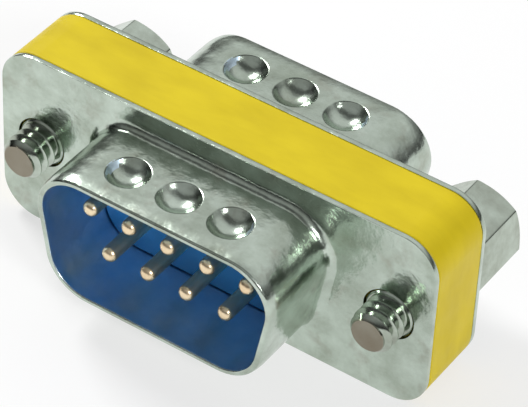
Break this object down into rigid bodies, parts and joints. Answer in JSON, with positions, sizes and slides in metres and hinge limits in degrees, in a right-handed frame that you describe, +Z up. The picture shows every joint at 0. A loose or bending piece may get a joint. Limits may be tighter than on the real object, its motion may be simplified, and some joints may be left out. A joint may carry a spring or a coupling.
{
  "type": "plug-to-plug d-sub adapter",
  "caption": "Slim D-subminiature adapter with a pin plug at both ends, steel flanges either side of a yellow moulded frame, and two jackscrews.",
  "frame": {"origin": "middle of the flat underside, on the mid-plane between the two flanges", "axes": "+X along the long side, -Y out of the front plug with the studs, +Y out of the rear plug with the hexagon heads, +Z up, the wide side of both D shells"},
  "size_m": [0.0308, 0.0172, 0.0125],
  "materials": {
    "tinned_steel": "bright tin plate",
    "plated_screw": "bright plated",
    "yellow_moulding": "satin moulded",
    "blue_insulator": "satin moulded",
    "gold_contact": "gold plated",
    "circuit_board": "lacquered laminate"
  },
  "bodies": {
    "housing": {"front_shell": "tinned_steel", "rear_shell": "tinned_steel", "moulded_frame": "yellow_moulding", "front_insulator": "blue_insulator", "rear_insulator": "blue_insulator", "circuit_board": "circuit_board", "front_contact_1": "gold_contact", "front_contact_2": "gold_contact", "front_contact_3": "gold_contact", "front_contact_4": "gold_contact", "front_contact_5": "gold_contact", "front_contact_6": "gold_contact", "front_contact_7": "gold_contact", "front_contact_8": "gold_contact", "front_contact_9": "gold_contact", "rear_contact_1": "gold_contact", "rear_contact_2": "gold_contact", "rear_contact_3": "gold_contact", "rear_contact_4": "gold_contact", "rear_contact_5": "gold_contact", "rear_contact_6": "gold_contact", "rear_contact_7": "gold_contact", "rear_contact_8": "gold_contact", "rear_contact_9": "gold_contact"},
    "left_screw": {"left_jackscrew": "plated_screw"},
    "right_screw": {"right_jackscrew": "plated_screw"}
  },
  "joints": [
    {"name": "left_screw_turn", "type": "hinge", "parent": "housing", "child": "left_screw", "pos_m": [-0.01249, 0, 0.00625], "axis": [0, 1, 0], "continuous": true},
    {"name": "right_screw_turn", "type": "hinge", "parent": "housing", "child": "right_screw", "pos_m": [0.01249, 0, 0.00625], "axis": [0, 1, 0], "continuous": true}
  ]
}
